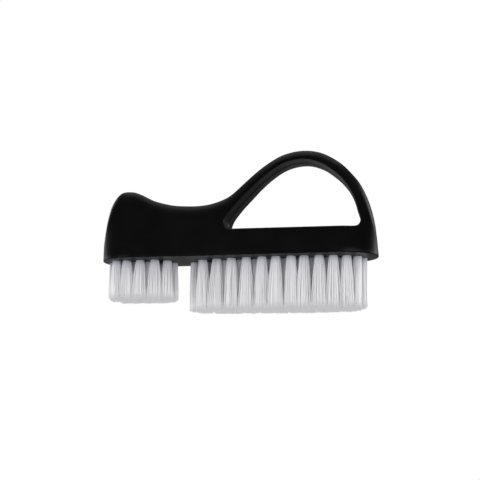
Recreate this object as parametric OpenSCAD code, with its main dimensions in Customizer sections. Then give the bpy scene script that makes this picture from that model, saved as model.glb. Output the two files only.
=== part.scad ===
// Hand and nail brush: a moulded body with a nose hump, a thumb saddle and a finger loop,
// and bristle tufts that are folded over flat wire anchors in blind holes.
// X runs along the brush from the nose to the loop, Z points up, away from the bristles.
// The origin lies under the middle of the brush, on the plane of the trimmed main bristles.

/* [Body] */
// Overall length of the body along its rim
body_len = 95.6; // [84:0.2:110]
// Width of the rim at its loop end
body_w = 24.8; // [22:0.2:32]
// Width of the rim at its nose end
nose_w = 23.2; // [21:0.2:30]
// Length of the rounded plan at each end of the body
end_round = 12; // [7:0.5:14]
// Height of the lip that stands straight up round the rim
lip_h = 0.8; // [0.4:0.1:1.5]
// How far the underside bulges below the rim along its middle
crown = 0.8; // [0.2:0.1:1.4]
// Height of the nose hump above the rim
nose_h = 24.1; // [20:0.1:26]
// Height of the thumb saddle above the rim
saddle_h = 18.3; // [14:0.1:19]

/* [Loop] */
// Height of the top of the loop above the rim
loop_h = 36.7; // [33:0.1:42]
// Thickness of the block below the loop, from the rim to the floor of the opening
floor_h = 9.5; // [8:0.1:10]
// Thickness of the band at the top of the loop
band_t = 3.3; // [2.4:0.1:4]
// Thickness of the leg at the tail, at its foot
leg_t = 5.5; // [4.5:0.1:6.5]
// Distance from the end of the nose to the front of the opening
neck_len = 43.8; // [40:0.1:46]
// Width of the band across the top of the loop
band_w = 14.6; // [12:0.2:18]
// Rounding of the upper edges
edge_r = 2.8; // [0.8:0.1:3.2]

/* [Tufts] */
// Free length of the main bristles below the middle of the underside
main_bristle = 17.1; // [14:0.1:22]
// Free length of the short bristles under the nose
nose_bristle = 12.95; // [9:0.05:13.5]
// Diameter of each tuft hole
hole_d = 3.1; // [2.6:0.05:3.2]
// Depth of each tuft hole
hole_depth = 6; // [5:0.1:6.8]
// Play between a tuft and the wall of its hole
tuft_play = 0.05; // [0.02:0.01:0.1]
// Distance from the end of the nose to the first rank of the nose group
nose_margin = 5.6; // [5.5:0.1:6.2]
// Length of the nose group from its first rank to its last
nose_span = 17.7; // [17:0.1:18.2]
// Half width of the nose group at its widest, between tuft centres
nose_reach = 6.3; // [5.9:0.1:6.8]
// Distance from the last tuft of the nose group to the first of the main group
group_gap = 7.6; // [6:0.1:9]
// Distance from the last main rank to the tail
tail_margin = 6.8; // [6.6:0.1:7.6]
// Half width of the main group at its widest, between tuft centres
main_reach = 7.7; // [7.2:0.1:8.2]

/* [Strands] */
// Width of one strand at its root
strand_root = 0.7; // [0.5:0.05:0.75]
// Width of one strand at its trimmed tip
strand_tip = 0.9; // [0.6:0.05:1]
// Distance of the outer strands from the tuft's middle at the root
root_ring = 0.98; // [0.9:0.02:1]
// Distance of the outer strands from the tuft's middle at the tip
tip_ring = 1.3; // [1.1:0.05:1.4]

/* [Anchors] */
// Length of the flat wire, which lies across the brush and bites into both walls of the hole
anchor_len = 3.6; // [3.3:0.1:3.8]
// Height of the flat wire
anchor_h = 1.8; // [1.2:0.1:2.2]
// Thickness of the flat wire
anchor_t = 0.36; // [0.2:0.02:0.5]
// Thickness of the folded bristles between the wire and the blind end
fold_t = 0.9; // [0.6:0.1:1.2]

/* [Hidden] */
$fn = 48;
half_len = body_len / 2;
rim_z = main_bristle + crown;
nose_tip_z = main_bristle - nose_bristle;

// Steps of the lofted body: per stretch of its outline, round the crown, up a side, over an edge
outline_steps = 2;
crown_steps = 7;
side_steps = 4;
edge_steps = 4;
// Least half width of a section, at the two ends of the body
end_half = 1;
// Most of a section's half width and of its height that its rounded top takes
dome_width_share = 0.9;
dome_height_share = 0.6;
// Overrun of every cut
cut = 2;
// How far a tuft stands out of its hole before its strands part
mouth = 0.3;
// How far a strand reaches into the bound part of its tuft
strand_root_in = 0.5;
// Gap between the folded end of a tuft and the blind end of its hole
fold_play = 0.1;
// Strands round the middle one in each tuft
ring_strands = 5;

// Front of the loop's opening, and the length of the loop from there to the tail
opening_x = neck_len - half_len;
loop_len = body_len - neck_len;

// Side outline of the body's top: the nose and the saddle as shares of the length before the loop,
// the loop as shares of its own length, and each as shares of its own height
nose_curve_shares = [
    [0.004, 0.23], [0.024, 0.467], [0.047, 0.684], [0.084, 0.872], [0.153, 0.995], [0.245, 1],
    [0.324, 0.957], [0.432, 0.855]
];
saddle_curve_shares = [
    [0.558, 1.037], [0.665, 1.004], [0.799, 1], [0.917, 1.049], [1.034, 1.173]
];
loop_curve_shares = [
    [0.122, 0.696], [0.173, 0.765], [0.239, 0.846], [0.305, 0.912], [0.369, 0.959],
    [0.434, 0.986], [0.499, 1], [0.564, 0.998], [0.63, 0.979], [0.693, 0.939], [0.758, 0.879],
    [0.821, 0.8], [0.894, 0.674], [0.946, 0.514], [0.977, 0.347], [0.991, 0.202], [0.996, 0.11]
];
side_outline = concat(
    [[-half_len, lip_h]],
    [for (p = nose_curve_shares) [p[0] * neck_len - half_len, p[1] * nose_h]],
    [for (p = saddle_curve_shares) [p[0] * neck_len - half_len, p[1] * saddle_h]],
    [for (p = loop_curve_shares) [opening_x + p[0] * loop_len, p[1] * loop_h]],
    [[half_len, lip_h]]
);

// Outline of the loop's opening, as shares of its length and height, from the front of its floor
opening_len = loop_len - leg_t;
opening_h = loop_h - floor_h - band_t;
opening_shares = [
    [0.026, 0], [0.303, 0], [0.652, 0], [0.93, 0], [0.968, 0.01], [0.992, 0.042], [1, 0.1],
    [0.982, 0.245], [0.957, 0.415], [0.916, 0.571], [0.858, 0.718], [0.787, 0.841],
    [0.714, 0.935], [0.617, 1], [0.522, 0.999], [0.424, 0.943], [0.333, 0.835], [0.248, 0.699],
    [0.166, 0.542], [0.091, 0.388], [0.027, 0.231], [0, 0.105], [0.007, 0.026]
];
opening_points = [for (p = opening_shares) [p[0] * opening_len, p[1] * opening_h]];

// How the tuft field narrows toward its ends: share of its length, share of its reach
main_reach_shares = [
    [0, 0.56], [0.1, 0.73], [0.2, 0.82], [0.4, 0.95], [0.6, 1], [0.8, 0.985], [0.93, 0.84], [1, 0.53]
];
nose_reach_shares = [[0, 0.81], [0.2, 0.91], [0.5, 0.97], [0.8, 1], [1, 0.72]];
// How strongly the sides draw in just above the rim: 1 is an even slope up to the top of the loop
draw_power = 3.2;
// Places of the full ranks along each group, as shares of its length
main_rank_shares = [0, 0.096, 0.192, 0.292, 0.394, 0.484, 0.582, 0.665, 0.761, 0.851, 0.934, 1];
nose_rank_shares = [0.21, 0.48, 0.77];
// How far the single tufts at the ends of each group stand beyond its end ranks
main_front_step = 3.5;
main_back_step = 1.6;
nose_front_step = 2.2;
nose_back_step = 1.3;
// First rank of each group and the length of the main group, from the two ends of the body
nose_first = nose_margin - half_len;
main_first = nose_first + nose_span + nose_back_step + group_gap + main_front_step;
main_span = half_len - tail_margin - main_first;

// Smooth curve through a list of points, closed or open
function curve_point(a, b, c, d, t) = let (
    bend = 2 * a - 5 * b + 4 * c - d,
    twist = 3 * b - a - 3 * c + d
) 0.5 * (2 * b + (c - a) * t + bend * t * t + twist * t * t * t);
function open_curve(points, steps) = let (last = len(points) - 1) concat(
    [for (i = [0:last - 1], s = [0:steps - 1])
        let (before = points[max(i - 1, 0)], after = points[min(i + 2, last)])
        curve_point(before, points[i], points[i + 1], after, s / steps)],
    [points[last]]
);
function closed_curve(points, steps) = let (n = len(points))
    [for (i = [0:n - 1], s = [0:steps - 1])
        let (before = points[(i + n - 1) % n], after = points[(i + 2) % n])
        curve_point(before, points[i], points[(i + 1) % n], after, s / steps)];

// Half width of the rim at a place along the body
function rim_half(x) = let (
    way = (x + half_len) / body_len,
    side = (nose_w + (body_w - nose_w) * way) / 2,
    into_end = max(0, 1 - (half_len - abs(x)) / end_round)
) max(end_half, side * sqrt(max(0, 1 - into_end * into_end)));

// Half width of the body at a height above the rim: the sides draw in, fast at first, to the band
function side_half(x, h) = let (share = band_w / body_w)
    rim_half(x) * (share + (1 - share) * pow(max(0, 1 - h / loop_h), draw_power));

// Height of the underside above the plane of the tips
function under_z(x, y) = let (w = rim_half(x), fill = 2 * w / body_w)
    rim_z - crown * fill * fill * (1 - (y / w) * (y / w));

// How far a section's rounded top reaches in: an edge radius along the body, a full dome at its ends
function dome_half(x, top) = let (
    into_end = max(0, 1 - (half_len - abs(x)) / end_round),
    w = side_half(x, top)
) min(w * dome_width_share, edge_r + (w - edge_r) * into_end);

// One cross-section of the body, its points in a ring: crown, side, edge, top, edge, side
function section(x, top) = let (
    w = rim_half(x),
    across = dome_half(x, top),
    down = min(across, top * dome_height_share),
    shoulder = top - down,
    top_w = side_half(x, shoulder)
) concat(
    [for (i = [0:crown_steps]) let (y = w * (2 * i / crown_steps - 1)) [x, y, under_z(x, y)]],
    [for (i = [1:side_steps]) let (h = shoulder * i / side_steps) [x, side_half(x, h), rim_z + h]],
    [for (i = [1:edge_steps]) let (a = 90 * i / edge_steps)
        [x, top_w - across + across * cos(a), rim_z + shoulder + down * sin(a)]],
    [for (i = [edge_steps:-1:1]) let (a = 90 * i / edge_steps)
        [x, across - top_w - across * cos(a), rim_z + shoulder + down * sin(a)]],
    [for (i = [side_steps:-1:1]) let (h = shoulder * i / side_steps) [x, -side_half(x, h), rim_z + h]]
);

// Solid that joins a row of cross-sections
module loft(sections) {
    n = len(sections);
    m = len(sections[0]);
    sides = [for (i = [0:n - 2], j = [0:m - 1]) let (
        a = i * m + j, b = i * m + (j + 1) % m, c = b + m, d = a + m
    ) each [[a, c, b], [a, d, c]]];
    first_cap = [for (j = [1:m - 2]) [0, j, j + 1]];
    last_cap = [for (j = [1:m - 2]) [(n - 1) * m, (n - 1) * m + j + 1, (n - 1) * m + j]];
    polyhedron(points = [for (s = sections) each s], faces = concat(sides, first_cap, last_cap));
}

// Places of the tufts: one list of places for each rank across the brush
function main_place(share) =
    [main_first + main_span * share, main_reach * lookup(share, main_reach_shares)];
function nose_place(share) =
    [nose_first + nose_span * share, nose_reach * lookup(share, nose_reach_shares)];
function full_rank(p) = [[p[0], -p[1]], [p[0], 0], [p[0], p[1]]];
function half_rank(p, q) = let (x = (p[0] + q[0]) / 2, y = (p[1] + q[1]) / 4) [[x, -y], [x, y]];
function end_rank(p, step) = [[p[0], -p[1]], [p[0] + step, 0], [p[0], p[1]]];

main_places = [for (share = main_rank_shares) main_place(share)];
main_ranks = len(main_places);
main_last = main_places[main_ranks - 1];
main_tuft_ranks = concat(
    [end_rank(main_places[0], -main_front_step)],
    [[[(main_places[0][0] - main_front_step + main_places[1][0]) / 2, 0]]],
    [for (i = [1:main_ranks - 3]) let (p = main_places[i], q = main_places[i + 1])
        each [full_rank(p), half_rank(p, q)]],
    [full_rank(main_places[main_ranks - 2])],
    [end_rank(main_last, main_back_step)]
);
nose_places = [for (share = nose_rank_shares) nose_place(share)];
nose_tuft_ranks = concat(
    [end_rank(nose_place(0), -nose_front_step)],
    [for (i = [0:len(nose_places) - 2]) let (p = nose_places[i], q = nose_places[i + 1])
        each [full_rank(p), half_rank(p, q)]],
    [full_rank(nose_places[len(nose_places) - 1])],
    [end_rank(nose_place(1), nose_back_step)]
);

// Blind end and mouth of the hole at a place
function hole_top(p) = under_z(p[0], p[1]) + hole_depth;

module tuft_hole(p) {
    translate([p[0], p[1], under_z(p[0], p[1]) - cut])
        cylinder(d = hole_d, h = hole_depth + cut);
}

module wire_anchor(p) {
    translate([p[0] - anchor_t / 2, p[1] - anchor_len / 2, hole_top(p) - fold_t - anchor_h])
        cube([anchor_t, anchor_len, anchor_h]);
}

// One bristle strand: four corners at the root, four at the trimmed tip
module strand(root, tip, turn) {
    function corners(spot, width) = [for (a = [45:90:315])
        [spot[0] + width / sqrt(2) * cos(turn + a), spot[1] + width / sqrt(2) * sin(turn + a), spot[2]]];
    polyhedron(
        points = concat(corners(tip, strand_tip), corners(root, strand_root)),
        faces = [
            [0, 1, 2], [0, 2, 3], [4, 6, 5], [4, 7, 6],
            for (k = [0:3]) each [[k, k + 4, (k + 1) % 4 + 4], [k, (k + 1) % 4 + 4, (k + 1) % 4]]
        ]
    );
}

// One tuft: the bound part that fills its hole, and the strands that fan out to the trimmed tips
module tuft(p, tip_z) {
    root_z = under_z(p[0], p[1]) - mouth;
    union() {
        difference() {
            translate([p[0], p[1], root_z])
                cylinder(d = hole_d - 2 * tuft_play, h = mouth + hole_depth - fold_play);
            wire_anchor(p);
        }
        strand([p[0], p[1], root_z + strand_root_in], [p[0], p[1], tip_z], 0);
        for (k = [0:ring_strands - 1]) {
            turn = 360 * k / ring_strands;
            way = [cos(turn), sin(turn)];
            strand(
                [p[0] + root_ring * way[0], p[1] + root_ring * way[1], root_z + strand_root_in],
                [p[0] + tip_ring * way[0], p[1] + tip_ring * way[1], tip_z],
                turn
            );
        }
    }
}

module body() {
    color([0.05, 0.05, 0.055])
    difference() {
        loft([for (p = open_curve(side_outline, outline_steps)) section(p[0], p[1])]);
        translate([opening_x, body_w / 2 + cut, rim_z + floor_h])
            rotate([90, 0, 0])
                linear_extrude(body_w + 2 * cut)
                    polygon(closed_curve(opening_points, outline_steps));
        for (rank = concat(nose_tuft_ranks, main_tuft_ranks), p = rank) {
            tuft_hole(p);
            wire_anchor(p);
        }
    }
}

module nose_tufts(i) {
    color([0.93, 0.93, 0.95])
    for (p = nose_tuft_ranks[i]) tuft(p, nose_tip_z);
}

module main_tufts(i) {
    color([0.93, 0.93, 0.95])
    for (p = main_tuft_ranks[i]) tuft(p, 0);
}

module nose_anchors() {
    color([0.72, 0.72, 0.7])
    for (rank = nose_tuft_ranks, p = rank) wire_anchor(p);
}

module main_anchors() {
    color([0.72, 0.72, 0.7])
    for (rank = main_tuft_ranks, p = rank) wire_anchor(p);
}

nose_names = [for (i = [0:len(nose_tuft_ranks) - 1]) str("nose_tufts_", i + 1)];
main_names = [for (i = [0:len(main_tuft_ranks) - 1]) str("main_tufts_", i + 1)];

body();
nose_anchors();
main_anchors();
for (i = [0:len(nose_names) - 1])
    nose_tufts(i);
for (i = [0:len(main_names) - 1])
    main_tufts(i);
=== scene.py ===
import math
import random
import bpy
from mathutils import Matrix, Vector


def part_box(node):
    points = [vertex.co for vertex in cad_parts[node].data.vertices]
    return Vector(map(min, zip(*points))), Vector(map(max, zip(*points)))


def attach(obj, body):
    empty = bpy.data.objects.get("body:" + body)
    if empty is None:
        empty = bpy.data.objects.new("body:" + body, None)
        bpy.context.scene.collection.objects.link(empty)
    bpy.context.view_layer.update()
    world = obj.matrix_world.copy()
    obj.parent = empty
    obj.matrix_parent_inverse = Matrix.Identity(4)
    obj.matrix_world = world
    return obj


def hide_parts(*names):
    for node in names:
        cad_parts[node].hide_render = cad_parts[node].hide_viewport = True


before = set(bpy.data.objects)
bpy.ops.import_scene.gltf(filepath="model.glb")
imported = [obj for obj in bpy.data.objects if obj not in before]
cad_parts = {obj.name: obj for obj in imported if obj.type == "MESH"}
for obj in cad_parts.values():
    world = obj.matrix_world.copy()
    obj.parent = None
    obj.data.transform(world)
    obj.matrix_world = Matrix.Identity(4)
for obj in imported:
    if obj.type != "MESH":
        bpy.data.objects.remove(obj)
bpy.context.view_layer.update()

# The moulded body: one solid shot of black polypropylene with a nose hump, a thumb saddle and a
# finger loop, taken out of a two-part mould that parts along the middle of the brush.
# Its sides draw in above a shallow lip, and its underside bulges a little between the lips.
mm = 0.001
body_low, body_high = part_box("body")
half_len = (body_high.x - body_low.x) / 2
tail_w = 24.8 * mm
nose_w = 23.2 * mm
band_w = 14.6 * mm
end_round = 12 * mm
lip_h = 0.8 * mm
crown = 0.8 * mm
nose_h = 23.95 * mm
saddle_h = 18.13 * mm
loop_h = 36.7 * mm
neck_len = 43.8 * mm
edge_r = 2.8 * mm
main_bristle = 17.1 * mm
rim_z = main_bristle + crown
draw_power = 1.9
flare_share = 0.13
flare_zone = 0.25
flare_h = 2.2 * mm
flare_reach = 0.17 * mm
rounding_stretch = 0.8
dome_width_share = 0.9
dome_height_share = 0.6
rim_edge_r = 0.35 * mm
seam_h = 0.05 * mm
seam_half = 0.14 * mm
body_sharp_angle = 38
end_x = half_len + flare_reach
loop_len = 2 * half_len - neck_len
opening_x = neck_len - half_len

# Side outline of the top, as shares of the length before the loop or of the loop, and of a height
outline_steps = 24
nose_curve_shares = [
    (0.004, 0.23), (0.024, 0.467), (0.047, 0.684), (0.084, 0.872), (0.153, 0.999), (0.245, 1),
    (0.324, 0.952), (0.432, 0.852),
]
saddle_curve_shares = [
    (0.558, 1.037), (0.665, 1.004), (0.799, 1), (0.917, 1.049), (1.034, 1.173),
]
loop_curve_shares = [
    (0.122, 0.696), (0.173, 0.763), (0.239, 0.842), (0.305, 0.907), (0.369, 0.957),
    (0.434, 0.986), (0.499, 1), (0.564, 0.998), (0.63, 0.979), (0.693, 0.939), (0.758, 0.879),
    (0.821, 0.8), (0.894, 0.674), (0.946, 0.514), (0.977, 0.347), (0.991, 0.202), (0.997, 0.11),
    (0.999, 0.06),
]


def smooth_curve(points, steps, closed=False):
    """A smooth curve through the points, with so many steps from each to the next."""
    n = len(points)
    curve = []
    for i in range(n if closed else n - 1):
        if closed:
            a, b, c, d = (points[(i + k) % n] for k in (-1, 0, 1, 2))
        else:
            a, b, c, d = (points[min(max(i + k, 0), n - 1)] for k in (-1, 0, 1, 2))
        for s in range(steps):
            t = s / steps
            spot = []
            for p, q, r, o in zip(a, b, c, d):
                bend = 2 * p - 5 * q + 4 * r - o
                twist = 3 * q - p - 3 * r + o
                spot.append(0.5 * (2 * q + (r - p) * t + bend * t * t + twist * t * t * t))
            curve.append(tuple(spot))
    return curve if closed else curve + [tuple(points[-1])]


side_outline = smooth_curve(
    [(-end_x, lip_h)]
    + [(x * neck_len - half_len, h * nose_h) for x, h in nose_curve_shares]
    + [(x * neck_len - half_len, h * saddle_h) for x, h in saddle_curve_shares]
    + [(opening_x + x * loop_len, h * loop_h) for x, h in loop_curve_shares]
    + [(end_x, lip_h)],
    outline_steps,
)


def top_height(x):
    """Height of the body's top above the rim at a place along it."""
    for (x0, h0), (x1, h1) in zip(side_outline, side_outline[1:]):
        if x <= x1:
            return h0 + (h1 - h0) * (x - x0) / (x1 - x0)
    return lip_h


def into_end(x):
    """How far into a rounded end a place lies: 0 along the straight sides, 1 at the very end."""
    return max(0.0, 1 - (end_x - abs(x)) / end_round)


def rim_half(x):
    """Half width of the rim, which is a little wider at the tail than at the nose."""
    side = (nose_w + (tail_w - nose_w) * (x + half_len) / (2 * half_len)) / 2
    return side * math.sqrt(max(0.0, 1 - into_end(x) ** 2))


def side_half(x, h):
    """Half width of the side face at a height: flared at the rim of both ends, drawn in above."""
    share = band_w / tail_w
    flare = flare_share * min(1.0, into_end(x) / flare_zone)
    draw = (1 - flare) * max(0.0, 1 - h / loop_h) ** draw_power
    lip = flare * max(0.0, 1 - h / flare_h) ** 2
    return rim_half(x) * (share + (1 - share) * (draw + lip))


def shoulder_of(x, top):
    """How far the rounded top reaches in and down, and the height where it starts."""
    w = side_half(x, top)
    across = min(w * dome_width_share, edge_r + (w - edge_r) * into_end(x))
    stretch = 1 + rounding_stretch * (1 - into_end(x))
    down = min(across * stretch, top * dome_height_share)
    return across, down, top - down


def half_width(x, h):
    """Half width of the finished body at a height, with its rounded top."""
    top = top_height(x)
    across, down, shoulder = shoulder_of(x, top)
    if h <= shoulder:
        return side_half(x, h)
    drop = min(1.0, (h - shoulder) / down)
    return side_half(x, shoulder) - across * (1 - math.sqrt(1 - drop * drop))


def under_z(x, y):
    """Height of the underside, which bulges below the rim and rounds up into its edge."""
    w = rim_half(x)
    fill = 2 * w / tail_w
    bulge = crown * fill * fill * (1 - (y / w) ** 2) if w > 0 else 0.0
    slant = math.sin(math.acos(min(1.0, into_end(x)))) ** 0.5
    inside = max(0.0, min(end_x - abs(x), (w - abs(y)) * slant))
    gap = max(0.0, rim_edge_r - inside)
    return rim_z - bulge + rim_edge_r - math.sqrt(rim_edge_r ** 2 - gap ** 2)


under_steps = 28
side_steps = 14
edge_steps = 14
rim_crowding = 1.3


def body_section(x):
    """One cross-section as a ring of points: underside, side, rounded top, side."""
    w = rim_half(x)
    top = top_height(x)
    across, down, shoulder = shoulder_of(x, top)
    ring = []
    for i in range(under_steps + 1):
        y = w * math.sin(math.pi / 2 * (2 * i / under_steps - 1))
        ring.append((x, y, under_z(x, y)))
    start = min(rim_edge_r, shoulder)
    side = []
    for i in range(1, side_steps + 1):
        h = start + (shoulder - start) * (i / side_steps) ** rim_crowding
        side.append((side_half(x, h), rim_z + h))
    top_w = side_half(x, shoulder)
    for i in range(1, edge_steps + 1):
        a = math.pi / 2 * i / edge_steps
        side.append((top_w - across + across * math.cos(a), rim_z + shoulder + down * math.sin(a)))
    seam = min(seam_half, (top_w - across) / 2)
    side.append((seam, rim_z + top))
    ring += [(x, y, z) for y, z in side]
    ring.append((x, 0.0, rim_z + top + seam_h * min(1.0, w / edge_r)))
    ring += [(x, -y, z) for y, z in reversed(side)]
    return ring


def add_solid(rings, points, faces):
    """Adds a solid to the lists: rings of as many points each, closed at both ends."""
    n = len(rings[0])
    first = len(points)
    last = first + (len(rings) - 1) * n
    points += [p for ring in rings for p in ring]
    for a in range(first, last, n):
        for j in range(n):
            k = (j + 1) % n
            faces.append((a + j, a + k, a + n + k, a + n + j))
    faces.append(tuple(range(first + n - 1, first - 1, -1)))
    faces.append(tuple(range(last, last + n)))


def mesh_piece(name, points, faces):
    """A mesh object of the points and faces, put in the scene."""
    mesh = bpy.data.meshes.new(name)
    mesh.from_pydata(points, [], faces)
    mesh.update()
    piece = bpy.data.objects.new(name, mesh)
    bpy.context.scene.collection.objects.link(piece)
    return piece


def stitch(name, *solids):
    """A mesh object from solids, each given as its rings."""
    points, faces = [], []
    for rings in solids:
        add_solid(rings, points, faces)
    return mesh_piece(name, points, faces)


# The first and last sections stop just short of the very ends, where they would have no width
end_steps = 30
middle_steps = 130
end_gap = 0.002 * mm
end_places = []
for i in range(end_steps + 1):
    inward = end_round * (1 - math.cos(math.pi / 2 * i / end_steps))
    end_places.append(end_x - inward)
end_places[0] -= end_gap
straight = end_x - end_round
places = [-x for x in end_places]
places += [-straight + 2 * straight * i / middle_steps for i in range(1, middle_steps)]
places += list(reversed(end_places))
body = stitch("moulded_body", [body_section(x) for x in places])


def cut_away(piece, cutter):
    """Takes the cutter's solid out of a piece."""
    cut = piece.modifiers.new("cut", "BOOLEAN")
    cut.operation = "DIFFERENCE"
    cut.solver = "MANIFOLD"
    cut.object = cutter
    bpy.context.view_layer.update()
    evaluated = piece.evaluated_get(bpy.context.evaluated_depsgraph_get())
    cut_mesh = bpy.data.meshes.new_from_object(evaluated)
    piece.modifiers.remove(cut)
    old = piece.data
    piece.data = cut_mesh
    bpy.data.meshes.remove(old)
    cutter_mesh = cutter.data
    bpy.data.objects.remove(cutter)
    bpy.data.meshes.remove(cutter_mesh)


# The loop's opening: the mould's two cores meet along the middle of the band, where they leave a
# fine parting ridge. Its edges are rounded at both side faces, more along the arch than at the
# block, and most where the arch comes down to the leg.
floor_h = 9.4 * mm
band_t = 3.3 * mm
leg_t = 5.5 * mm
opening_len = loop_len - leg_t
opening_h = loop_h - floor_h - band_t
opening_steps = 6
opening_edge_r = 0.5 * mm
arch_edge_r = 0.5 * mm
leg_edge_r = 0.8 * mm
ridge_h = 0.16 * mm
ridge_half = 0.35 * mm
draft_share = 0.022
core_reach = 1.2 * mm
core_flare = 0.25
core_end_share = 0.1
opening_shares = [
    (0.062, 0), (0.12, 0), (0.303, 0), (0.652, 0), (0.88, 0), (0.935, 0), (0.96, 0.003),
    (0.979, 0.013), (0.993, 0.038), (1.001, 0.078), (1, 0.135), (0.983, 0.245),
    (0.957, 0.415), (0.916, 0.571), (0.858, 0.718), (0.787, 0.841),
    (0.714, 0.935), (0.617, 1), (0.522, 0.999), (0.424, 0.943), (0.333, 0.835), (0.248, 0.699),
    (0.164, 0.538), (0.087, 0.384), (0.022, 0.228), (-0.001, 0.12), (0.004, 0.06), (0.016, 0.021),
    (0.036, 0.004),
]
opening_outline = [
    (opening_x + x * opening_len, floor_h + h * opening_h)
    for x, h in smooth_curve(opening_shares, opening_steps, closed=True)
]


def outward(points, i):
    """Direction across the outline, away from the opening."""
    n = len(points)
    ax, ah = points[(i - 1) % n]
    bx, bh = points[(i + 1) % n]
    length = math.hypot(bx - ax, bh - ah)
    return (bh - ah) / length, (ax - bx) / length


def edge_radius(nx, nh):
    """Radius of the opening's edge by the way it faces: largest where the arch turns down."""
    bend = 2 * max(0.0, nx)
    return opening_edge_r + (arch_edge_r + leg_edge_r * bend) * max(0.0, nh)


def wall_row(share):
    """One ring of the opening's core on its wall, at a share of the way out to its edge."""
    row = []
    for i, (x, h) in enumerate(opening_outline):
        nx, nh = outward(opening_outline, i)
        flat_half = half_width(x, h) - edge_radius(nx, nh)
        y = flat_half * share
        ridge = ridge_h * max(0.0, 1 - y / ridge_half)
        off = draft_share * (y - flat_half) - ridge
        row.append((x + nx * off, y, rim_z + h + nh * off))
    return row


def edge_row(turn, beyond=0.0):
    """One ring of the opening's core on its rounded edge, or beyond it, outside the body."""
    row = []
    for i, (x, h) in enumerate(opening_outline):
        nx, nh = outward(opening_outline, i)
        edge = edge_radius(nx, nh)
        off = edge * (1 - math.cos(turn)) + beyond * core_flare
        y = half_width(x + nx * off, h + nh * off) - edge * (1 - math.sin(turn)) + beyond
        row.append((x + nx * off, y, rim_z + h + nh * off))
    return row


def closing_row():
    """The core's last ring, well outside the body and drawn in to a small flat end."""
    middle_x = opening_x + opening_len / 2
    middle_h = floor_h + opening_h / 3
    row = []
    for x, h in opening_outline:
        near_x = middle_x + (x - middle_x) * core_end_share
        near_h = middle_h + (h - middle_h) * core_end_share
        row.append((near_x, tail_w / 2, rim_z + near_h))
    return row


wall_shares = [0.0, 0.025, 0.05, 0.2, 0.4, 0.6, 0.8, 1.0]
edge_turns = [math.radians(a) for a in (16, 32, 48, 64, 80)]
half_rows = [wall_row(share) for share in wall_shares]
half_rows += [edge_row(turn) for turn in edge_turns]
half_rows.append(edge_row(edge_turns[-1], core_reach))
half_rows.append(closing_row())
mirrored = [[(x, -y, z) for x, y, z in row] for row in half_rows[1:]]
cut_away(body, stitch("opening_core", list(reversed(half_rows)) + mirrored))

# The tuft holes: 74 blind holes, drilled along the bristles into the underside after moulding.
# Each ends in the cone of the drill's point, just above the folded end of its tuft.
hole_d = 3.1 * mm
hole_clearance = 0.1 * mm
hole_sides = 32
point_h = 0.45 * mm
point_r = 0.06 * mm
drill_start = 3 * mm
same_level = 0.01 * mm
tuft_names = sorted(
    (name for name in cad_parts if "_tufts_" in name),
    key=lambda name: (name.split("_")[0] != "nose", int(name.split("_")[-1])),
)


def islands(mesh):
    """The separate solids of a mesh, each as its points. Points at one spot, to a micron, join."""
    root = list(range(len(mesh.vertices)))

    def find(i):
        while root[i] != i:
            root[i] = root[root[i]]
            i = root[i]
        return i

    spots = {}
    for v in mesh.vertices:
        key = tuple(round(c, 6) for c in v.co)
        root[find(v.index)] = find(spots.setdefault(key, v.index))
    for e in mesh.edges:
        root[find(e.vertices[0])] = find(e.vertices[1])
    groups = {}
    for v in mesh.vertices:
        groups.setdefault(find(v.index), []).append(v.co.copy())
    return list(groups.values())


def tuft_places(name):
    """For each tuft of a rank: the middle of its hole, its folded end and its trimmed tips."""
    found = []
    for points in islands(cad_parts[name].data):
        fold = max(p.z for p in points)
        tips = min(p.z for p in points)
        cap = [p for p in points if p.z > fold - same_level]
        middle_x = (min(p.x for p in cap) + max(p.x for p in cap)) / 2
        middle_y = (min(p.y for p in cap) + max(p.y for p in cap)) / 2
        found.append((middle_x, middle_y, fold, tips))
    return sorted(found, key=lambda t: t[1])


tufts = {name: tuft_places(name) for name in tuft_names}


def hole_core(x, y, top):
    """Rings of one hole's solid, from below the underside up to the drill's point."""
    turns = [2 * math.pi * i / hole_sides for i in range(hole_sides)]
    levels = [(hole_d / 2, rim_z - drill_start), (hole_d / 2, top), (point_r, top + point_h)]
    rings = []
    for radius, z in levels:
        rings.append([(x + radius * math.cos(a), y + radius * math.sin(a), z) for a in turns])
    return rings


drilled = [
    hole_core(x, y, fold + hole_clearance)
    for name in tuft_names for x, y, fold, tips in tufts[name]
]
cut_away(body, stitch("hole_cores", *drilled))


def shade(mesh, sharp_angle):
    """Smooth shading, but for edges that turn by more than an angle in degrees."""
    for polygon in mesh.polygons:
        polygon.use_smooth = True
    mesh.set_sharp_from_angle(angle=math.radians(sharp_angle))


def shader(name):
    """A new material with its nodes, its links and its principled shader."""
    material = bpy.data.materials.new(name)
    material.use_nodes = True
    nodes = material.node_tree.nodes
    return material, nodes, material.node_tree.links, nodes["Principled BSDF"]


def node(nodes, kind, **settings):
    """Adds a node and sets its properties, or its sockets by name."""
    made = nodes.new(kind)
    for key, value in settings.items():
        if hasattr(made, key):
            setattr(made, key, value)
        else:
            made.inputs[key.replace("_", " ")].default_value = value
    return made


def ramp(nodes, stops):
    """A colour ramp through the stops, each a place from 0 to 1 and a colour."""
    made = node(nodes, "ShaderNodeValToRGB")
    for spot, colour in stops[1:-1]:
        made.color_ramp.elements.new(spot)
    for stop, (spot, colour) in zip(made.color_ramp.elements, stops):
        stop.position = spot
        stop.color = (*colour, 1)
    return made


def stretched_noise(nodes, links, place, scale, **settings):
    """Noise at a place, drawn out along the axes where the scale is small."""
    stretch = node(nodes, "ShaderNodeMapping", Scale=scale)
    links.new(place, stretch.inputs["Vector"])
    noise = node(nodes, "ShaderNodeTexNoise", Scale=1.0, **settings)
    links.new(stretch.outputs["Vector"], noise.inputs["Vector"])
    return noise.outputs["Fac"]


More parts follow.
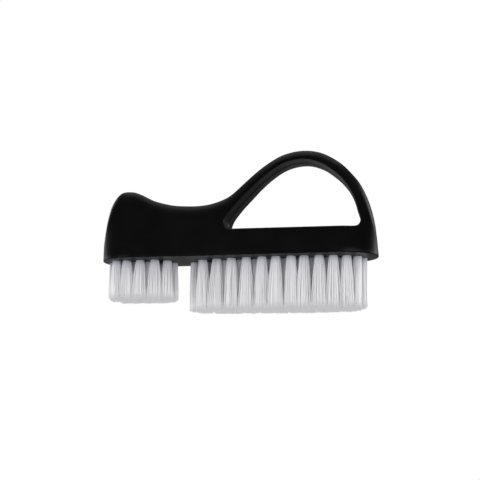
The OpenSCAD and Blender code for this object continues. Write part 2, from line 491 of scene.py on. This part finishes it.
def moulded_black():
    """Satin black polypropylene: a fine even grain, faint flow lines and handling sheen."""
    material, nodes, links, skin = shader("moulded_black")
    skin.inputs["Specular IOR Level"].default_value = 0.3
    place = node(nodes, "ShaderNodeTexCoord").outputs["Object"]
    cloud = node(nodes, "ShaderNodeTexNoise", Scale=90.0, Detail=4.0, Roughness=0.6)
    links.new(place, cloud.inputs["Vector"])
    tone = ramp(nodes, [(0.3, (0.0009, 0.0008, 0.0009)), (0.75, (0.0018, 0.0016, 0.0018))])
    links.new(cloud.outputs["Fac"], tone.inputs["Fac"])
    links.new(tone.outputs["Color"], skin.inputs["Base Color"])
    sheen = node(nodes, "ShaderNodeMapRange", From_Min=0.3, From_Max=0.7, To_Min=0.34, To_Max=0.46)
    links.new(cloud.outputs["Fac"], sheen.inputs["Value"])
    links.new(sheen.outputs["Result"], skin.inputs["Roughness"])
    grain = node(nodes, "ShaderNodeTexNoise", Scale=2600.0, Detail=3.0, Roughness=0.6)
    links.new(place, grain.inputs["Vector"])
    grain_bump = node(nodes, "ShaderNodeBump", Strength=0.25, Distance=0.00006)
    links.new(grain.outputs["Fac"], grain_bump.inputs["Height"])
    flow = stretched_noise(nodes, links, place, (180, 1500, 180), Detail=3.0, Roughness=0.55)
    flow_bump = node(nodes, "ShaderNodeBump", Strength=0.35, Distance=0.00012)
    links.new(flow, flow_bump.inputs["Height"])
    links.new(grain_bump.outputs["Normal"], flow_bump.inputs["Normal"])
    links.new(flow_bump.outputs["Normal"], skin.inputs["Normal"])
    return material


shade(body.data, body_sharp_angle)
body.data.materials.clear()
body.data.materials.append(moulded_black())
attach(body, "root")
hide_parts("body")

# The bristle tufts: nylon filaments, folded in two over the anchor wire deep in each hole, and
# trimmed level after filling, the nose group shorter than the main group.
# They leave the holes as tight round bundles and fan out until neighbours touch.
folds_per_tuft = 64
filament_r = 0.12 * mm
filament_sides = 4
filament_sharp_angle = 100
cut_end_share = 0.7
mouth_r = 1.42 * mm
mouth_depth = 0.2 * mm
tip_r = 2.62 * mm
held_fan = 0.35 * mm
tail_fan = -0.1 * mm
outer_trim = 1.5 * mm
inner_trim = 0.3 * mm
wire_half = 0.18 * mm
wire_h = 1.8 * mm
fold_depth = 0.8 * mm
fold_width_share = 0.8
bow_places = [0.0, 0.35, 0.72, 1.0]
bow_power = 1.8
lean_most = 0.35 * mm
twist_most = 0.25
stray_turn = 0.06
stray = 0.16 * mm
ragged = 0.26 * mm
end_zone = 2.5 * mm
side_way = Vector((0.31, 0.95, 0.05))
random.seed(41)


def bundle_half():
    """Places of the filaments in one half of a round bundle, in shares of its radius."""
    golden = math.pi * (3 - math.sqrt(5))
    spots = []
    for k in range(2 * folds_per_tuft):
        r = math.sqrt((k + 0.5) / (2 * folds_per_tuft))
        spots.append((r * math.cos(k * golden), r * math.sin(k * golden)))
    spots.sort()
    return spots[folds_per_tuft:]


def add_filament(path, points, faces):
    """Adds one filament along a path to the lists, thinner where it is cut. Its rings are turned
    by side_way, a direction that no filament takes."""
    last = len(path) - 1
    rings = []
    for i, spot in enumerate(path):
        ahead = (path[min(i + 1, last)] - path[max(i - 1, 0)]).normalized()
        side = ahead.cross(side_way).normalized()
        up = side.cross(ahead)
        radius = filament_r * (cut_end_share if i in (0, last) else 1.0)
        ring = []
        for j in range(filament_sides):
            a = 2 * math.pi * j / filament_sides
            ring.append(spot + side * radius * math.cos(a) + up * radius * math.sin(a))
        rings.append(ring)
    add_solid(rings, points, faces)


def free_end(root, tip):
    """Points of a filament from the mouth of its hole to its tip, bowed outwards."""
    spots = []
    for t in bow_places:
        ease = 1 - (1 - t) ** bow_power
        spot = root.lerp(tip, ease)
        spot.z = root.z + (tip.z - root.z) * t
        spots.append(spot)
    return spots


def add_tuft(x, y, fold, tips, held, outer, points, faces):
    """Adds the filaments of one tuft. The side held, at the end of its group, hardly fans, and
    its tips are clipped round, more at the outer ends of the brush."""
    end_fan = mouth_r + (tail_fan if outer and held > 0 else held_fan)
    clipped = outer_trim if outer else inner_trim
    mouth_z = under_z(x, y) + mouth_depth
    wire_top = fold - fold_depth
    lean = Vector((random.uniform(-1, 1), random.uniform(-1, 1), 0)) * lean_most
    twist = random.uniform(-twist_most, twist_most)
    for sx, sy in bundle_half():
        ends = []
        for hand in (-1, 1):
            turn = twist + random.uniform(-stray_turn, stray_turn)
            ux = hand * sx * math.cos(turn) - sy * math.sin(turn)
            uy = hand * sx * math.sin(turn) + sy * math.cos(turn)
            fan = end_fan if held * ux > 0 else tip_r
            clip = clipped * max(0.0, held * ux) ** 2
            lean_x = 0 if held * lean.x > 0 else lean.x
            root = Vector((x + mouth_r * ux, y + mouth_r * uy, mouth_z))
            tip = Vector((
                x + fan * ux + lean_x + random.gauss(0, stray),
                y + tip_r * uy + lean.y + random.gauss(0, stray),
                tips + clip + abs(random.gauss(0, ragged)),
            ))
            ends.append(free_end(root, tip))
        layer = wire_half + filament_r + (fold_depth - 2 * filament_r) * min(1.0, abs(sx))
        across = sy * mouth_r * fold_width_share
        over = [
            Vector((x - layer, y + across, wire_top - wire_h / 2)),
            Vector((x, y + across, wire_top + layer - wire_half)),
            Vector((x + layer, y + across, wire_top - wire_h / 2)),
        ]
        add_filament(list(reversed(ends[0])) + over + ends[1], points, faces)


def bristle_nylon(name, tip_z):
    """White nylon, each filament its own tone, with a painted shade by height: greyer at the cut
    tips, and darker near the root, where the body and the other tufts shade the filaments."""
    material, nodes, links, skin = shader(name)
    skin.inputs["Specular IOR Level"].default_value = 0.4
    skin.inputs["Roughness"].default_value = 0.45
    place = node(nodes, "ShaderNodeTexCoord").outputs["Object"]
    strands = stretched_noise(nodes, links, place, (2400, 2400, 60), Detail=2.0, Roughness=0.5)
    tone = ramp(nodes, [(0.3, (0.95, 0.945, 0.96)), (0.7, (0.99, 0.985, 0.995))])
    links.new(strands, tone.inputs["Fac"])
    height = node(nodes, "ShaderNodeSeparateXYZ")
    links.new(place, height.inputs["Vector"])
    rise = node(nodes, "ShaderNodeMapRange", From_Min=tip_z, From_Max=rim_z)
    links.new(height.outputs["Z"], rise.inputs["Value"])
    length = rim_z - tip_z
    # Painted shade by height: greyer at the cut tips, and darker near the root, where it is shaded
    painted_shade_stops = [
        (0.0, (0.7, 0.7, 0.71)),
        (0.8 * mm, (0.84, 0.84, 0.85)),
        (2.0 * mm, (0.98, 0.98, 0.985)),
        (length - 6.5 * mm, (0.96, 0.96, 0.975)),
        (length - 2.8 * mm, (0.905, 0.91, 0.945)),
        (length - 1.6 * mm, (0.835, 0.84, 0.89)),
        (length - 0.6 * mm, (0.59, 0.6, 0.65)),
    ]
    painted_shade = ramp(nodes, [(spot / length, colour) for spot, colour in painted_shade_stops])
    links.new(rise.outputs["Result"], painted_shade.inputs["Fac"])
    tone_with_painted_shade = node(nodes, "ShaderNodeVectorMath", operation="MULTIPLY")
    links.new(tone.outputs["Color"], tone_with_painted_shade.inputs[0])
    links.new(painted_shade.outputs["Color"], tone_with_painted_shade.inputs[1])
    links.new(tone_with_painted_shade.outputs["Vector"], skin.inputs["Base Color"])
    return material


for group in ("nose", "main"):
    names = [name for name in tuft_names if name.startswith(group)]
    first_x = min(t[0] for name in names for t in tufts[name])
    last_x = max(t[0] for name in names for t in tufts[name])
    group_tips = tufts[names[0]][0][3]
    nylon = bristle_nylon(group + "_bristle_nylon", group_tips)
    for name in names:
        points, faces = [], []
        for x, y, fold, tips in tufts[name]:
            held = 0
            if x < first_x + end_zone:
                held = -1
            elif x > last_x - end_zone:
                held = 1
            outer = held == (-1 if group == "nose" else 1)
            add_tuft(x, y, fold, tips, held, outer, points, faces)
        bundle = mesh_piece(name + "_filaments", points, faces)
        shade(bundle.data, filament_sharp_angle)
        bundle.data.materials.append(nylon)
        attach(bundle, "root")
        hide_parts(name)

# The anchors: short lengths of flat wire, punched into the holes over the folded filaments.
# They are hidden in the finished brush, and keep the shape that the frame gives them.


def anchor_wire():
    """Drawn flat wire: dull zinc-coated steel with fine lines along it."""
    material, nodes, links, skin = shader("anchor_wire")
    skin.inputs["Metallic"].default_value = 1.0
    place = node(nodes, "ShaderNodeTexCoord").outputs["Object"]
    lines = stretched_noise(nodes, links, place, (4000, 300, 4000), Detail=4.0, Roughness=0.6)
    tone = ramp(nodes, [(0.0, (0.5, 0.49, 0.46)), (1.0, (0.68, 0.67, 0.64))])
    links.new(lines, tone.inputs["Fac"])
    links.new(tone.outputs["Color"], skin.inputs["Base Color"])
    dull = node(nodes, "ShaderNodeMapRange", From_Min=0.3, From_Max=0.7, To_Min=0.28, To_Max=0.45)
    links.new(lines, dull.inputs["Value"])
    links.new(dull.outputs["Result"], skin.inputs["Roughness"])
    bump = node(nodes, "ShaderNodeBump", Strength=0.3, Distance=0.00002)
    links.new(lines, bump.inputs["Height"])
    links.new(bump.outputs["Normal"], skin.inputs["Normal"])
    return material


wire = anchor_wire()
for name in ("nose_anchors", "main_anchors"):
    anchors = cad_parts[name].data
    anchors.materials.clear()
    anchors.materials.append(wire)

# The studio: a white room, three soft lamps, and a pale floor under the tips that is clear from
# below, because the photograph looks up at the brush from just below its tips.
# Gloss sees dark cards in place of the white room: darkest in front and to the right.
scene = bpy.context.scene
floor_half = 0.6
brush_middle = Vector((0, 0, 0.025))


def combine(nodes, links, operation, first, second):
    """The result of a math node on two outputs."""
    made = node(nodes, "ShaderNodeMath", operation=operation)
    links.new(first, made.inputs[0])
    links.new(second, made.inputs[1])
    return made.outputs["Value"]


def pale_floor():
    """White paint for a camera above the floor, and clear for all else."""
    material = bpy.data.materials.new("pale_floor")
    material.use_nodes = True
    nodes, links = material.node_tree.nodes, material.node_tree.links
    nodes.clear()
    paint = node(nodes, "ShaderNodeBsdfDiffuse", Color=(0.86, 0.86, 0.86, 1))
    clear = node(nodes, "ShaderNodeBsdfTransparent")
    path = node(nodes, "ShaderNodeLightPath")
    facing = node(nodes, "ShaderNodeNewGeometry")
    front = node(nodes, "ShaderNodeMath", operation="SUBTRACT")
    front.inputs[0].default_value = 1.0
    links.new(facing.outputs["Backfacing"], front.inputs[1])
    camera_ray = path.outputs["Is Camera Ray"]
    seen = combine(nodes, links, "MULTIPLY", camera_ray, front.outputs["Value"])
    mix = node(nodes, "ShaderNodeMixShader")
    links.new(seen, mix.inputs["Fac"])
    links.new(clear.outputs["BSDF"], mix.inputs[1])
    links.new(paint.outputs["BSDF"], mix.inputs[2])
    out = node(nodes, "ShaderNodeOutputMaterial")
    links.new(mix.outputs["Shader"], out.inputs["Surface"])
    return material


floor_corners = [(-1, -1), (1, -1), (1, 1), (-1, 1)]
floor_points = [(x * floor_half, y * floor_half, 0) for x, y in floor_corners]
floor = mesh_piece("studio_floor", floor_points, [(0, 1, 2, 3)])
floor.data.materials.append(pale_floor())


def by_direction(nodes, links, along, **levels):
    """A level that changes smoothly with the direction along one axis."""
    made = node(nodes, "ShaderNodeMapRange", interpolation_type="SMOOTHSTEP", **levels)
    links.new(along, made.inputs["Value"])
    return made.outputs["Result"]


def white_room():
    """White light from all round, seen plain by the camera and as dark cards by gloss."""
    world = bpy.data.worlds.new("white_room")
    world.use_nodes = True
    nodes, links = world.node_tree.nodes, world.node_tree.links
    nodes.clear()
    room = node(nodes, "ShaderNodeBackground", Color=(1, 1, 1, 1), Strength=1.1)
    backdrop = node(nodes, "ShaderNodeBackground", Color=(1, 1, 1, 1))
    path = node(nodes, "ShaderNodeLightPath").outputs
    direction = node(nodes, "ShaderNodeSeparateXYZ")
    links.new(node(nodes, "ShaderNodeTexCoord").outputs["Generated"], direction.inputs["Vector"])
    x, y, z = direction.outputs
    rise = node(nodes, "ShaderNodeMapRange", From_Min=-1.0)
    links.new(z, rise.inputs["Value"])
    greys = [(0.0, 0.2), (0.42, 0.2), (0.53, 0.05), (0.72, 0.04), (0.88, 0.06), (1.0, 0.1)]
    cards = ramp(nodes, [(spot, (grey, grey, grey)) for spot, grey in greys])
    links.new(rise.outputs["Result"], cards.inputs["Fac"])
    behind = by_direction(nodes, links, y, From_Min=0.25, From_Max=0.8, To_Min=0.17)
    left = by_direction(nodes, links, x, From_Min=-0.8, From_Max=-0.1, To_Min=3.6, To_Max=1.0)
    right = by_direction(nodes, links, x, From_Min=0.14, From_Max=0.32, To_Min=1.0, To_Max=0.18)
    across = combine(nodes, links, "MULTIPLY", left, right)
    sides = combine(nodes, links, "MULTIPLY", behind, across)
    gloss = combine(nodes, links, "MULTIPLY", cards.outputs["Color"], sides)
    level = node(nodes, "ShaderNodeMix")
    level.inputs["A"].default_value = 1.0
    links.new(path["Is Glossy Ray"], level.inputs["Factor"])
    links.new(gloss, level.inputs["B"])
    links.new(level.outputs["Result"], backdrop.inputs["Strength"])
    shows = combine(nodes, links, "MAXIMUM", path["Is Camera Ray"], path["Is Glossy Ray"])
    shows_all = combine(nodes, links, "MAXIMUM", shows, path["Is Transmission Ray"])
    mix = node(nodes, "ShaderNodeMixShader")
    links.new(shows_all, mix.inputs["Fac"])
    links.new(room.outputs["Background"], mix.inputs[1])
    links.new(backdrop.outputs["Background"], mix.inputs[2])
    links.new(mix.outputs["Shader"], node(nodes, "ShaderNodeOutputWorld").inputs["Surface"])
    return world


def softbox(name, spot, width, height, watts):
    """A soft lamp aimed at the middle of the brush."""
    lamp = bpy.data.lights.new(name, "AREA")
    lamp.shape = "RECTANGLE"
    lamp.size = width
    lamp.size_y = height
    lamp.energy = watts
    box = bpy.data.objects.new(name, lamp)
    box.location = spot
    aim = brush_middle - Vector(spot)
    box.rotation_euler = aim.to_track_quat("-Z", "Y").to_euler()
    scene.collection.objects.link(box)


scene.world = white_room()
softbox("top_softbox", (0, 0.04, 0.52), 0.6, 0.55, 0.85)
softbox("left_softbox", (-0.42, 0.34, 0.16), 0.25, 0.3, 0.22)
softbox("right_softbox", (0.39, 0.38, 0.16), 0.18, 0.3, 0.4)

camera_data = bpy.data.cameras.new("camera")
camera_data.sensor_width = 36
camera_data.lens = 108.5
camera_data.clip_start = 0.01
camera = bpy.data.objects.new("camera", camera_data)
camera.location = (0.0753, -0.4882, -0.0578)
camera.rotation_euler = (math.radians(99.5), 0, math.radians(8.75))
scene.collection.objects.link(camera)
scene.camera = camera
scene.view_settings.view_transform = "Standard"
